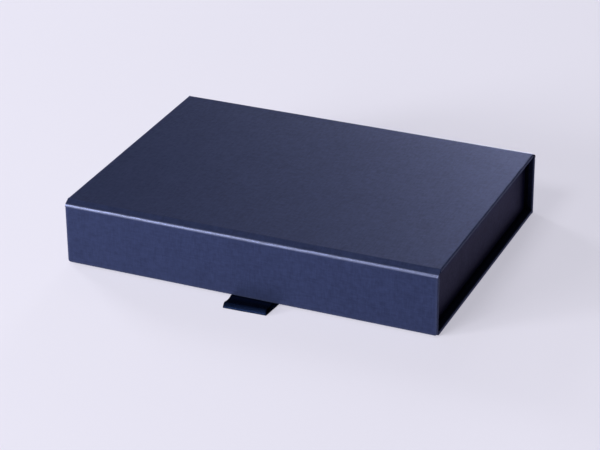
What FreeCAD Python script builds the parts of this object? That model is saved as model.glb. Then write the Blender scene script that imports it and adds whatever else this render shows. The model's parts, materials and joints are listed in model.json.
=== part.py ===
import FreeCAD, Part
import math
import os

# Shallow gift box with a hinged lid: a set-up tray glued into a wrapped board case. The case
# is a base, a spine, a lid and a front flap, joined by folds of paper. Magnets in the flap
# meet steel discs in the tray, and a folded ribbon under the flap is the pull tab.
# Millimetres. +X runs along the long side, +Y towards the spine, +Z up.
# The origin is the middle of the standing face.

# Overall size of the closed case
box_width = 225.0  # along X, end to end
box_depth = 165.0  # along Y, flap face to spine face
box_height = 40.0  # along Z, standing face to lid face

# Sheet materials
case_board = 2.0  # greyboard of the base, spine, lid and flap
tray_board = 2.0  # greyboard of the tray
cover_paper = 0.2  # decorative paper round the case boards
lining_paper = 0.2  # paper on the inner faces of the case and the tray floor
tray_paper = 0.2  # paper round the tray walls
stay_tape = 0.1  # tape that ties the tray's corners

# Case
turn_in = 15.0  # how far the cover paper folds onto an inner face
lining_reveal = 3.0  # strip of turned-in paper left showing round a lining
case_overhang = 5.0  # how far the case stands past the tray at each end
edge_round = 0.5  # radius of a wrapped edge
spine_fold_radius = 1.0  # outside radius of the fold between base and spine
flap_lift = 1.2  # gap between the flap's lower edge and the table

# Paper hinges: a strip of cover and lining slopes between two creases, from board to board
hinge_run = 4.5  # from the flap or spine face back to the lid board's edge
hinge_drop = 2.5  # from the lid face down to the flap's or spine's top corner
shoulder_radius = 1.5  # outside radius of the crease at the lid
corner_radius = 0.9  # outside radius of the crease at the flap or the spine

# Clearances of the moving parts
lid_clearance = 0.3  # lid lining over the tray's rim
flap_clearance = 0.4  # flap lining in front of the tray

# Tray
tray_edge_round = 0.5  # radius of the tray's wrapped edges
stay_reach = 12.0  # length of a corner stay along each wall

# Magnetic catch
catch_inset = 37.5  # from each end of the case to the middle of a catch
catch_height = 14.0  # centre line above the table
magnet_diameter = 12.0
magnet_thickness = 1.5
disc_diameter = 12.0
disc_thickness = 1.0
pocket_fit = 0.05  # all round a magnet or a disc

# Pull tab: one length of ribbon, folded in half, with both ends glued in the flap
ribbon_width = 25.0
ribbon_offset = 5.0  # middle of the ribbon, to the right of the box's middle
ribbon_ply = 0.3  # thickness of the ribbon
ribbon_glue_line = 0.05  # between the two plies
ribbon_tail_height = 13.0  # height of the glued ends above the flap's lower edge
ribbon_side_gap = 2.2  # beside the ribbon in its seat, because its two plies lie askew
ribbon_top_gap = 0.3  # above the ribbon's ends in the seat
ribbon_bend = 0.1  # inside radius of the bend under the flap's edge
tab_reach = 13.5  # how far the loop stands out in front of the flap
tab_root = 0.4  # from the flap's face to the line where the loop starts to lift
tab_parting = 0.05  # between the glued part and the loop
tab_swell = 0.6  # rise of the upper ply's middle in front of the flap
tab_swell_at = 2.7  # from the loop's root to the swell
tab_pinch = 0.5  # between the middles of the plies where the loop is pressed flat
tab_pinch_at = 6.8  # from the loop's root to the pinch
tab_crest = 1.6  # height of the upper ply's middle behind the front fold
tab_crest_at = 9.6  # from the loop's root to the crest
tab_landing = 4.0  # from the loop's root to where the lower ply meets the table
tab_curve = 4.0  # radius of the ply's soft bends
table_gap = 0.1  # under the loop's lower ply

# Places that follow from the sizes above
half_width = box_width / 2
face_y = -box_depth / 2  # outer face of the flap
spine_y = box_depth / 2  # outer face of the spine
lid_front_y = face_y + hinge_run
lid_back_y = spine_y - hinge_run
lid_board_top = box_height - cover_paper
lid_board_bottom = lid_board_top - case_board
lid_lining_top = lid_board_bottom - cover_paper
lid_lining_bottom = lid_lining_top - lining_paper
wrapped_wall = cover_paper + case_board + cover_paper
lined_wall = wrapped_wall + lining_paper
laminate = cover_paper + lining_paper  # cover and lining glued together in a hinge
tray_front_y = face_y + lined_wall + flap_clearance
tray_back_y = spine_y - lined_wall
tray_half_length = half_width - case_overhang
tray_bottom = wrapped_wall
tray_rim = lid_lining_bottom - lid_clearance
floor_bottom = tray_bottom + tray_paper
floor_top = floor_bottom + tray_board
wall_top = tray_rim - tray_paper
base_front_y = tray_front_y
base_back_y = spine_y - wrapped_wall
corner_top = box_height - hinge_drop  # crease between the strip and the flap or spine
slope = math.atan2(hinge_drop, hinge_run)
mitre = (math.pi / 2 - slope) / 2  # half the turn of the crease at the flap or spine
crown_y = face_y + laminate  # inner corner of the strip over the flap's top edge
crown = corner_top + laminate * math.tan(slope) - laminate / math.cos(slope)
upright_top = crown - lining_paper  # top of the flap board and the spine board
tab_start_y = face_y - tab_root
catch_x = half_width - catch_inset

MIDDLE = FreeCAD.Vector(0, 0, 0)
ALONG_X = FreeCAD.Vector(1, 0, 0)
ALONG_Y = FreeCAD.Vector(0, 1, 0)


def block(x, y, z):
    """A box from three (low, high) pairs."""
    low = FreeCAD.Vector(x[0], y[0], z[0])
    return Part.makeBox(x[1] - x[0], y[1] - y[0], z[1] - z[0], low)


def slab(low_z, high_z):
    """Everything inside the case's outline between two heights."""
    return block((-half_width, half_width), (face_y, spine_y), (low_z, high_z))


def edges_along(shape, axis, at=None):
    """The straight edges of a shape that run along an axis, and lie on one plane if asked.

    at is (axis letter, coordinate).
    """
    found = []
    for edge in shape.Edges:
        run = edge.Vertexes[1].Point - edge.Vertexes[0].Point
        others = [c for c in "xyz" if c != axis]
        straight = all(abs(getattr(run, c)) < 1e-6 for c in others)
        placed = at is None or abs(getattr(edge.CenterOfMass, at[0]) - at[1]) < 1e-6
        if straight and placed:
            found.append(edge)
    return found


def rounded(shape, radius, wall, edges):
    """Round some edges, by no more than a wall of this thickness can carry."""
    size = min(radius, 0.45 * wall)
    return shape.makeFillet(size, edges) if size > 0.01 else shape


def on_x(y, z, x=0.0):
    """A point of a section that is drawn in the YZ plane."""
    return FreeCAD.Vector(x, y, z)


def bend_sizes(points, radii):
    """Tangent length and turn at each inner corner of a path, with radii that fit the runs."""
    sizes = []
    for i in range(1, len(points) - 1):
        before = (points[i] - points[i - 1])
        after = (points[i + 1] - points[i])
        turn = before.getAngle(after)
        room = 0.49 * min(before.Length, after.Length)
        radius = min(radii[i - 1], room / math.tan(turn / 2))
        sizes.append((radius, radius * math.tan(turn / 2), turn))
    return sizes


def sheet_face(points, radii, thickness):
    """Section of a folded sheet: (y, z) corners of its middle line, with a radius at each.

    The two sides of the sheet stay parallel round every bend.
    """
    path = [on_x(y, z) for y, z in points]
    bends = bend_sizes(path, radii)
    half = thickness / 2

    def side(direction, distance):
        return ALONG_X.cross(direction).normalize() * distance

    def one_side(distance):
        line = [("point", path[0] + side(path[1] - path[0], distance))]
        for i, (radius, tangent, turn) in enumerate(bends, 1):
            before = (path[i] - path[i - 1]).normalize()
            after = (path[i + 1] - path[i]).normalize()
            inward = (after - before).normalize()
            centre = path[i] + inward * (radius / math.cos(turn / 2))
            start = path[i] - before * tangent + side(before, distance)
            end = path[i] + after * tangent + side(after, distance)
            reach = (start - centre).Length
            line += [("point", start), ("arc", centre - inward * reach, end)]
        line.append(("point", path[-1] + side(path[-1] - path[-2], distance)))
        return line

    def edges_of(line):
        found, here = [], line[0][1]
        for step in line[1:]:
            there = step[-1]
            if (there - here).Length > 1e-6:
                straight = step[0] == "point"
                curve = Part.LineSegment(here, there) if straight else Part.Arc(here, step[1], there)
                found.append(curve.toShape())
                here = there
        return found

    left, right = edges_of(one_side(half)), edges_of(one_side(-half))
    ends = [
        Part.LineSegment(path[0] + side(path[1] - path[0], half),
                         path[0] - side(path[1] - path[0], half)).toShape(),
        Part.LineSegment(path[-1] + side(path[-1] - path[-2], half),
                         path[-1] - side(path[-1] - path[-2], half)).toShape(),
    ]
    return Part.Face(Part.Wire(Part.sortEdges(left + right + ends)[0]))


def folded_sheet(points, radii, thickness, low_x, high_x):
    """A sheet with the section of sheet_face, from low_x to high_x."""
    face = sheet_face(points, radii, thickness)
    face.translate(FreeCAD.Vector(low_x, 0, 0))
    return face.extrude(FreeCAD.Vector(high_x - low_x, 0, 0))


def mirrored_y(shape):
    """The shape seen in a mirror halfway between the front and the back."""
    return shape.mirror(MIDDLE, ALONG_Y)


def section(corners, low_x=-half_width, high_x=half_width):
    """A solid with a section of straight sides in the YZ plane."""
    ring = [on_x(*corner, x=low_x) for corner in corners]
    face = Part.Face(Part.makePolygon(ring + ring[:1]))
    return face.extrude(FreeCAD.Vector(high_x - low_x, 0, 0))


def hinge_underside(y):
    """Height of the front strip's inner face, at a place along Y."""
    return corner_top + (y - face_y) * math.tan(slope) - laminate / math.cos(slope)


def mitre_height(y):
    """Height of the plane that halves the crease at the flap, at a place along Y."""
    return corner_top - (y - face_y) * math.tan(mitre)


def crease_waste(corner, along_a, along_b, radius):
    """What lies outside a rounded crease, between its two faces and its arc."""
    corner = on_x(*corner)
    along_a = on_x(*along_a).normalize()
    along_b = on_x(*along_b).normalize()
    half = along_a.getAngle(along_b) / 2
    start = corner + along_a * (radius / math.tan(half))
    end = corner + along_b * (radius / math.tan(half))
    centre = corner + (along_a + along_b).normalize() * (radius / math.sin(half))
    wedge = section([(point.y, point.z) for point in (corner, start, centre, end)])
    axis_end = centre - ALONG_X * half_width
    return wedge.cut(Part.makeCylinder(radius, box_width, axis_end, ALONG_X))


def front_creases():
    """What lies outside the front hinge's two rounded creases."""
    shoulder = (lid_front_y, box_height)
    corner = (face_y, corner_top)
    down = (-hinge_run, -hinge_drop)
    up = (hinge_run, hinge_drop)
    return [
        crease_waste(shoulder, (1, 0), down, shoulder_radius),
        crease_waste(corner, (0, -1), up, corner_radius),
    ]


def back_creases():
    """What lies outside the back hinge's two rounded creases."""
    return [mirrored_y(waste) for waste in front_creases()]


def make_front_hinge():
    """Cover and lining, glued together, from the lid board's edge to the flap's top."""
    corners = [
        (lid_front_y, box_height),
        (lid_front_y, hinge_underside(lid_front_y)),
        (crown_y, crown),
        (face_y, corner_top),
    ]
    return section(corners).cut(front_creases())


def make_back_hinge():
    """The same strip between the lid and the spine."""
    return mirrored_y(make_front_hinge())


def lid_core():
    """Greyboard of the lid, rounded at its two ends."""
    x = (-half_width + cover_paper, half_width - cover_paper)
    board = block(x, (lid_front_y, lid_back_y), (lid_board_bottom, lid_board_top))
    return rounded(board, edge_round - cover_paper, case_board, edges_along(board, "y"))


def make_lid_cover():
    """Cover paper over the lid, folded round both ends."""
    y = (lid_front_y, lid_back_y)
    wrap = block((-half_width, half_width), y, (lid_lining_top, box_height))
    wrap = rounded(wrap, edge_round, wrapped_wall, edges_along(wrap, "y"))
    fold = half_width - turn_in
    window = block((-fold, fold), y, (lid_lining_top, lid_board_bottom))
    creases = front_creases() + back_creases()
    return wrap.cut(lid_core()).cut(window).cut(creases)


def make_lid_lining():
    """Lining of the lid, turned up the board's two hinged edges."""
    reach = half_width - lining_reveal
    sheet = block((-reach, reach), (lid_front_y, lid_back_y), (lid_lining_bottom, lid_lining_top))
    y = lid_front_y - lining_paper
    corners = [
        (lid_front_y, lid_lining_bottom),
        (y, lid_lining_bottom),
        (y, hinge_underside(y)),
        (lid_front_y, hinge_underside(lid_front_y)),
    ]
    lip = section(corners, -reach, reach)
    return sheet.fuse([lip, mirrored_y(lip)]).removeSplitter()


def upright_core(low_z):
    """Greyboard at the front of the case, from low_z up to the hinge, with rounded ends."""
    x = (-half_width + cover_paper, half_width - cover_paper)
    y = (face_y + cover_paper, face_y + cover_paper + case_board)
    board = block(x, y, (low_z, upright_top))
    return rounded(board, edge_round - cover_paper, case_board, edges_along(board, "z"))


def above_mitre():
    """What lies above the mitred top edge of the flap's cover paper."""
    out_y = face_y - laminate
    return section([
        (out_y, mitre_height(out_y)),
        (crown_y, mitre_height(crown_y)),
        (crown_y, box_height),
        (out_y, box_height),
    ])


def upright_lining(low_z):
    """Lining up the inner face of the flap board and over its top edge."""
    reach = half_width - lining_reveal
    near = face_y + wrapped_wall
    far = near + lining_paper
    sheet = block((-reach, reach), (near, far), (low_z, crown))
    outer_y = face_y + cover_paper
    corners = [
        (outer_y, upright_top),
        (outer_y, mitre_height(outer_y)),
        (crown_y, crown),
        (far, crown),
        (far, upright_top),
    ]
    return sheet.fuse(section(corners, -reach, reach)).removeSplitter()


def flap_core():
    """Greyboard of the flap, rounded at its two ends and its lower edge."""
    board = upright_core(flap_lift + cover_paper)
    edges = edges_along(board, "x", ("z", flap_lift + cover_paper))
    return rounded(board, edge_round - cover_paper, case_board, edges)


def make_flap_board():
    """Greyboard of the flap, with magnet pockets and a shallow seat for the ribbon's ends."""
    board = flap_core()
    inner_y = face_y + cover_paper + case_board
    for x in (-catch_x, catch_x):
        centre = FreeCAD.Vector(x, inner_y - magnet_thickness, catch_height)
        radius = magnet_diameter / 2 + pocket_fit
        board = board.cut(Part.makeCylinder(radius, magnet_thickness, centre, ALONG_Y))
    return board.cut(ribbon_seat())


def ribbon_pack():
    """Thickness of the ribbon's two plies together."""
    return 2 * ribbon_ply + ribbon_glue_line


def ribbon_sides(gap=0.0):
    """The ribbon's two edges along X."""
    half = ribbon_width / 2 + gap
    return (ribbon_offset - half, ribbon_offset + half)


def ribbon_seat():
    """Shallow seat, pressed into the flap board, that the ribbon's ends are glued in."""
    inner_y = face_y + cover_paper + case_board
    top = flap_lift + ribbon_tail_height + ribbon_top_gap
    return block(ribbon_sides(ribbon_side_gap), (inner_y - ribbon_pack(), inner_y), (flap_lift, top))


def upright_cover(board, low_z, fold_z, round_foot):
    """Cover paper on an upright board, folded round its ends and mitred to the hinge strip.

    Between the two folded ends, the board's inner face is left bare from fold_z up.
    """
    x = (-half_width, half_width)
    inner_y = face_y + cover_paper + case_board
    outer_y = inner_y + cover_paper
    wrap = block(x, (face_y, outer_y), (low_z, corner_top))
    foot = edges_along(wrap, "x", ("z", low_z)) if round_foot else []
    wrap = rounded(wrap, edge_round, wrapped_wall, edges_along(wrap, "z") + foot)
    past_board = block(x, (face_y + cover_paper, outer_y), (upright_top, box_height))
    fold = half_width - turn_in
    window = block((-fold, fold), (inner_y, outer_y), (fold_z, box_height))
    return wrap.cut([board, past_board, window, above_mitre()] + front_creases())


def make_flap_cover():
    """Cover paper over the flap, folded round its two ends and its lower edge.

    The paper is pressed into the ribbon's seat, and the ribbon lies on it.
    """
    cover = upright_cover(flap_core(), flap_lift, flap_lift + turn_in, True)
    seat = ribbon_seat().BoundBox
    side_x = (seat.XMin, seat.XMax)
    seat_z = (seat.ZMin, seat.ZMax)
    pressed_y = seat.YMin + cover_paper
    opening = block(side_x, (pressed_y, seat.YMax + cover_paper), seat_z)
    pressed = block(side_x, (seat.YMin, pressed_y), seat_z)
    return cover.cut(opening).fuse(pressed).removeSplitter()


def make_flap_lining():
    """Lining of the flap, turned over the board's top edge."""
    return upright_lining(flap_lift + lining_reveal)


def make_magnet(x):
    """Disc magnet, flush with the flap board's inner face."""
    inner_y = face_y + cover_paper + case_board
    centre = FreeCAD.Vector(x, inner_y - magnet_thickness, catch_height)
    return Part.makeCylinder(magnet_diameter / 2, magnet_thickness, centre, ALONG_Y)


def make_steel_disc(x):
    """Steel disc, flush with the tray front board's outer face."""
    centre = FreeCAD.Vector(x, tray_front_y + tray_paper, catch_height)
    return Part.makeCylinder(disc_diameter / 2, disc_thickness, centre, ALONG_Y)


def base_core():
    """Greyboard of the base, rounded at its two ends and its front edge."""
    x = (-half_width + cover_paper, half_width - cover_paper)
    y = (base_front_y + cover_paper, base_back_y)
    board = block(x, y, (cover_paper, cover_paper + case_board))
    edges = edges_along(board, "y") + edges_along(board, "x", ("y", y[0]))
    return rounded(board, edge_round - cover_paper, case_board, edges)


def make_base_cover():
    """Cover paper under the base, folded round its ends and its front edge."""
    wrap = block((-half_width, half_width), (base_front_y, base_back_y), (0, wrapped_wall))
    edges = edges_along(wrap, "y") + edges_along(wrap, "x", ("y", base_front_y))
    wrap = rounded(wrap, edge_round, wrapped_wall, edges)
    fold = half_width - turn_in
    window = block((-fold, fold), (base_front_y + turn_in, base_back_y), (cover_paper, wrapped_wall))
    bridge_y = (base_back_y, spine_y - spine_fold_radius)
    bridge = block((-half_width, half_width), bridge_y, (0, cover_paper))
    return wrap.cut(base_core()).cut(window).fuse(bridge).removeSplitter()


def make_spine_board():
    """Greyboard of the spine."""
    return mirrored_y(upright_core(spine_fold_radius))


def make_spine_fold():
    """The quarter turn of cover paper between the base and the spine."""
    centre = FreeCAD.Vector(-half_width, spine_y - spine_fold_radius, spine_fold_radius)
    outer = Part.makeCylinder(spine_fold_radius, box_width, centre, ALONG_X)
    inner = Part.makeCylinder(spine_fold_radius - cover_paper, box_width, centre, ALONG_X)
    y = (spine_y - spine_fold_radius, spine_y)
    quarter = block((-half_width, half_width), y, (0, spine_fold_radius))
    return outer.cut(inner).common(quarter)


def make_spine_cover():
    """Cover paper behind the spine, folded round its ends, with the fold down to the base."""
    low_z = spine_fold_radius
    cover = mirrored_y(upright_cover(upright_core(low_z), low_z, low_z, False))
    return cover.fuse(make_spine_fold()).removeSplitter()


def make_spine_lining():
    """Lining of the spine, turned over the board's top edge."""
    return mirrored_y(upright_lining(wrapped_wall))


def tray_core(grow=0.0):
    """Outline of the tray's boards, from the floor to the top of the walls."""
    x = tray_half_length - tray_paper + grow
    y = (tray_front_y + tray_paper - grow, tray_back_y - tray_paper + grow)
    core = block((-x, x), y, (floor_bottom, wall_top))
    return rounded(core, tray_edge_round - tray_paper + grow, tray_board, edges_along(core, "z"))


def tray_hollow(inset, low):
    """The space inside the tray's walls, inset from its outer face, open upwards."""
    x = tray_half_length - inset
    return block((-x, x), (tray_front_y + inset, tray_back_y - inset), (low, box_height))


def make_tray_floor():
    """Floor board of the tray, which the walls stand on."""
    return tray_core().common(slab(floor_bottom, floor_top))


def make_long_wall(front):
    """Front or back wall board of the tray, full length."""
    ring = tray_core().cut(tray_hollow(tray_paper + tray_board, floor_top))
    inner = tray_paper + tray_board
    y = (face_y, tray_front_y + inner) if front else (tray_back_y - inner, spine_y)
    return ring.common(block((-half_width, half_width), y, (floor_top, box_height)))


def make_tray_front():
    """Front wall board, with shallow pockets for the steel discs."""
    wall = make_long_wall(True)
    for x in (-catch_x, catch_x):
        centre = FreeCAD.Vector(x, tray_front_y + tray_paper, catch_height)
        radius = disc_diameter / 2 + pocket_fit
        wall = wall.cut(Part.makeCylinder(radius, disc_thickness, centre, ALONG_Y))
    return wall


def make_tray_end(side):
    """Left (-1) or right (+1) wall board, between the front and the back wall."""
    outer = tray_half_length - tray_paper
    x = sorted((side * outer, side * (outer - tray_board)))
    inner = tray_paper + tray_board
    y = (tray_front_y + inner, tray_back_y - inner)
    return block(x, y, (floor_top, wall_top))


def make_corner_stays():
    """Four strips of tape, folded round the outside of the tray's upright corners."""
    skin = tray_core(stay_tape).cut(tray_core())
    x = tray_half_length - tray_paper - stay_reach
    y = (tray_front_y + tray_paper + stay_reach, tray_back_y - tray_paper - stay_reach)
    skin = skin.cut(block((-half_width, half_width), y, (0, box_height)))
    return skin.cut(block((-x, x), (face_y, spine_y), (0, box_height)))


def make_tray_wrap(stays):
    """Paper round the tray: under the floor's rim, up the walls, over and down inside."""
    y = (tray_front_y, tray_back_y)
    wrap = block((-tray_half_length, tray_half_length), y, (tray_bottom, tray_rim))
    wrap = rounded(wrap, tray_edge_round, tray_board, edges_along(wrap, "z"))
    fold = tray_half_length - turn_in
    window = block(
        (-fold, fold),
        (tray_front_y + turn_in, tray_back_y - turn_in),
        (tray_bottom, floor_bottom),
    )
    walls = tray_core().cut(tray_hollow(tray_paper + tray_board, floor_top))
    hollow = tray_hollow(2 * tray_paper + tray_board, floor_bottom)
    wrap = wrap.cut(hollow).cut(walls).cut(make_tray_floor()).cut(window)
    return wrap.cut(stays)


def make_floor_lining():
    """Sheet of paper on the tray's floor."""
    x = tray_half_length - 2 * tray_paper - tray_board
    inner = 2 * tray_paper + tray_board
    y = (tray_front_y + inner, tray_back_y - inner)
    return block((-x, x), y, (floor_top, floor_top + lining_paper))


def ribbon_levels():
    """Heights of the middles of the upper and lower ply under the flap's edge."""
    upper = flap_lift - ribbon_bend - ribbon_ply / 2
    return upper, upper - ribbon_ply - ribbon_glue_line


def make_ribbon_tail():
    """The glued part of the ribbon: two plies up the flap's inner face and under its edge."""
    inner_y = face_y + cover_paper + case_board + cover_paper
    top = flap_lift + ribbon_tail_height
    upper_z, lower_z = ribbon_levels()
    lower_y = inner_y - ribbon_ply / 2
    upper_y = lower_y - ribbon_ply - ribbon_glue_line
    end_y = tab_start_y + tab_parting
    radius = ribbon_bend + ribbon_ply / 2
    step = ribbon_ply + ribbon_glue_line
    plies = []
    for y, z, bend in ((upper_y, upper_z, radius), (lower_y, lower_z, radius + step)):
        points = [(y, top), (y, z), (end_y, z)]
        plies.append(folded_sheet(points, [bend], ribbon_ply, *ribbon_sides()))
    return Part.makeCompound(plies)


def make_ribbon_loop():
    """The free loop of the ribbon, in front of the flap, lying on the table."""
    upper_z, lower_z = ribbon_levels()
    lower = table_gap + ribbon_ply / 2
    front = face_y - tab_reach + ribbon_ply / 2
    fold = (tab_crest - lower) / 2  # radius of the front fold
    points = [
        (tab_start_y, upper_z),
        (tab_start_y - tab_swell_at, upper_z + tab_swell),
        (tab_start_y - tab_pinch_at, lower + tab_pinch),
        (tab_start_y - tab_crest_at, tab_crest),
        (front, tab_crest),
        (front, lower),
        (tab_start_y - tab_landing, lower),
        (tab_start_y, lower_z),
    ]
    radii = [tab_curve, tab_curve, tab_curve, fold, fold, tab_curve]
    return folded_sheet(points, radii, ribbon_ply, *ribbon_sides())


def build():
    """Every piece of the box, by name."""
    stays = make_corner_stays()
    return {
        "front_hinge_paper": make_front_hinge(),
        "back_hinge_paper": make_back_hinge(),
        "lid_board": lid_core(),
        "lid_cover_paper": make_lid_cover(),
        "lid_lining": make_lid_lining(),
        "flap_board": make_flap_board(),
        "flap_cover_paper": make_flap_cover(),
        "flap_lining": make_flap_lining(),
        "magnet_left": make_magnet(-catch_x),
        "magnet_right": make_magnet(catch_x),
        "ribbon_tail": make_ribbon_tail(),
        "ribbon_loop": make_ribbon_loop(),
        "base_board": base_core(),
        "base_cover_paper": make_base_cover(),
        "spine_board": make_spine_board(),
        "spine_cover_paper": make_spine_cover(),
        "spine_lining": make_spine_lining(),
        "tray_floor_board": make_tray_floor(),
        "tray_front_board": make_tray_front(),
        "tray_back_board": make_long_wall(False),
        "tray_left_board": make_tray_end(-1),
        "tray_right_board": make_tray_end(1),
        "tray_corner_stays": stays,
        "tray_wrap_paper": make_tray_wrap(stays),
        "tray_floor_lining": make_floor_lining(),
        "steel_disc_left": make_steel_disc(-catch_x),
        "steel_disc_right": make_steel_disc(catch_x),
    }


def main():
    os.makedirs("parts", exist_ok=True)
    for name, shape in build().items():
        shape.exportStep(os.path.join("parts", name + ".step"))
        box = shape.BoundBox
        print(
            f"{name}: {len(shape.Solids)} solid(s), {shape.Volume:.1f} mm3, valid {shape.isValid()},"
            f" x {box.XMin:.2f} {box.XMax:.2f}, y {box.YMin:.2f} {box.YMax:.2f},"
            f" z {box.ZMin:.2f} {box.ZMax:.2f}"
        )


main()
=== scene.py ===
import json
import math

import bmesh
import bpy
from mathutils import Matrix, Vector, noise


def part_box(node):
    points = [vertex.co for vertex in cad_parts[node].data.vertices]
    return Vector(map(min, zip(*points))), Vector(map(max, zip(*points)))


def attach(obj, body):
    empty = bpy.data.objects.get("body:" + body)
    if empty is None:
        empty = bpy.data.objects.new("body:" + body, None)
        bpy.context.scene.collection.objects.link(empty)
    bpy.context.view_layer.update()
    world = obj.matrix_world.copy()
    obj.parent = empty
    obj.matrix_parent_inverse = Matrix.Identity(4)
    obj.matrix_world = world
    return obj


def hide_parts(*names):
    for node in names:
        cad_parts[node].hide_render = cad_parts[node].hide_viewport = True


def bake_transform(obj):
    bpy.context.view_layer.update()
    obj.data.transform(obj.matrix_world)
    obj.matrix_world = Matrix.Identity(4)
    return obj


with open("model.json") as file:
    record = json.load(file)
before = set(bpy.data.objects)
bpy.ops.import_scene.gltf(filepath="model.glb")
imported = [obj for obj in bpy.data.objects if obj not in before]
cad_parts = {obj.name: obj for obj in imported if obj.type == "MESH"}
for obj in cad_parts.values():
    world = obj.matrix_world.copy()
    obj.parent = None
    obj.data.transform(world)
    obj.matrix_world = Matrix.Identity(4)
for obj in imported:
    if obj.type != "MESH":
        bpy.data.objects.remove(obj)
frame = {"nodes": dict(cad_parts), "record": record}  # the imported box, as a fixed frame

noise.seed_set(1)  # so that the sheets sway the same way in every run
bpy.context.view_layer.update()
mm = 0.001
axisX, axisY, axisZ = 0, 1, 2
same = 1e-6  # metres: places closer than this are one place
flush = 0.1 * mm  # a flat face with its middle this close to a plane lies in it

lidLow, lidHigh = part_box("lid_cover_paper")
flapLow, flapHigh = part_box("flap_cover_paper")
spineLow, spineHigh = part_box("spine_cover_paper")
baseLow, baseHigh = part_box("base_cover_paper")
liningLow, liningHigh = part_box("lid_lining")
flapLiningLow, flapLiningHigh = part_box("flap_lining")
trayLow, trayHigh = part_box("tray_wrap_paper")
floorLow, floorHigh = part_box("tray_floor_lining")
magnetLow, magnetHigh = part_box("magnet_right")
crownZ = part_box("front_hinge_paper")[0].z  # the hinge strips' inner corner, over the upright boards


view = {
    "azimuth": 23.658,  # degrees, from straight in front towards the right-hand end
    "elevation": 26.785,
    "roll": -0.478,
    "distance": 1328.75 * mm,
    "aimRight": -3.20 * mm,  # the point that the camera looks at, off the origin
    "aimUp": 7.18 * mm,
    "lens": 136.19,  # mm
    "sensor": 36,  # mm
    "clip": (0.05, 60),  # metres, the nearest and the farthest that it draws
}


def makeCamera():
    turn = (
        Matrix.Rotation(math.radians(view["azimuth"]), 4, "Z")
        @ Matrix.Rotation(math.radians(90 - view["elevation"]), 4, "X")
        @ Matrix.Rotation(math.radians(view["roll"]), 4, "Z")
    )
    data = bpy.data.cameras.new("viewCamera")
    data.sensor_width = view["sensor"]
    data.lens = view["lens"]
    data.clip_start, data.clip_end = view["clip"]
    camera = bpy.data.objects.new("viewCamera", data)
    bpy.context.scene.collection.objects.link(camera)
    camera.matrix_world = turn @ Matrix.Translation((view["aimRight"], view["aimUp"], view["distance"]))
    bpy.context.scene.camera = camera


class Wire:  # one output socket, for use in sums
    def __init__(self, finish, socket):
        self.finish, self.socket = finish, socket

    def maths(self, operation, *values, **settings):
        settings["operation"] = operation
        return self.finish.node("ShaderNodeMath", settings, dict(enumerate(values)))

    def __add__(self, other):
        return self.maths("ADD", self, other)

    def __radd__(self, other):
        return self.maths("ADD", other, self)

    def __sub__(self, other):
        return self.maths("SUBTRACT", self, other)

    def __rsub__(self, other):
        return self.maths("SUBTRACT", other, self)

    def __mul__(self, other):
        return self.maths("MULTIPLY", self, other)

    def __rmul__(self, other):
        return self.maths("MULTIPLY", other, self)

    def __truediv__(self, other):
        return self.maths("DIVIDE", self, other)

    def clamped(self):
        return self.maths("ADD", self, 0.0, use_clamp=True)

    def sine(self):
        return self.maths("SINE", self)

    def size(self):
        return self.maths("ABSOLUTE", self)


class Finish:  # one material or world, and the nodes in it
    def __init__(self, name, world=False):
        library = bpy.data.worlds if world else bpy.data.materials
        self.block = library.new(name)
        self.block.use_nodes = True
        self.tree = self.block.node_tree
        self.tree.nodes.clear()

    def node(self, kind, settings=None, sockets=None, out=0):
        made = self.tree.nodes.new(kind)
        for key, value in (settings or {}).items():
            setattr(made, key, value)
        for key, value in (sockets or {}).items():
            if isinstance(value, Wire):
                self.tree.links.new(value.socket, made.inputs[key])
            else:
                made.inputs[key].default_value = value
        return Wire(self, made.outputs[out]) if made.outputs else None

    def mixed(self, share, first, second):  # a colour between two colours
        settings = {"data_type": "RGBA", "clamp_factor": True}
        return self.node("ShaderNodeMix", settings, {0: share, 6: first, 7: second}, out=2)

    def stretched(self, place, scale):
        return self.node("ShaderNodeMapping", None, {"Vector": place, "Scale": scale})

    def grain(self, place, size, detail=2.0, roughness=0.5):  # noise with spots of about this size
        sockets = {"Vector": place, "Scale": 1 / size, "Detail": detail, "Roughness": roughness}
        return self.node("ShaderNodeTexNoise", None, sockets)

    def objectPlace(self):
        return self.node("ShaderNodeTexCoord", out="Object")

    def attribute(self, name, out="Fac"):
        return self.node("ShaderNodeAttribute", {"attribute_name": name}, out=out)

    def bump(self, height, depth):
        return self.node("ShaderNodeBump", None, {"Height": height, "Distance": depth, "Strength": 1.0})

    def surface(self, sockets):
        shader = self.node("ShaderNodeBsdfPrincipled", None, sockets)
        self.node("ShaderNodeOutputMaterial", None, {"Surface": shader})
        return self.block


def colour(red, green, blue):
    return (red, green, blue, 1.0)


pearl = {
    "navy": colour(0.0165, 0.0220, 0.0570),
    "light": colour(0.0268, 0.0356, 0.0885),
    "worn": colour(0.0700, 0.0820, 0.1450),
    "sheen": colour(0.38, 0.41, 0.64),  # tint of the pearl pigment's gloss
    "thread": 0.45 * mm,  # pitch of the embossed linen grain
    "slub": 0.95 * mm,  # thickness of the stray thicker threads
    "fibre": 0.22 * mm,
    "mottle": 2.4 * mm,  # size of the small uneven spots
    "cloud": 16 * mm,  # and of the large ones
    "scuff": 1.6 * mm,  # size of the pale spots on worn folds
    "relief": 0.024 * mm,
    "metallic": 0.55,
    "roughness": 0.41,
    "rubbed": 0.64,  # weight of the second gloss on the hinge creases
    "rubbedRoughness": 0.42,
}


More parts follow.
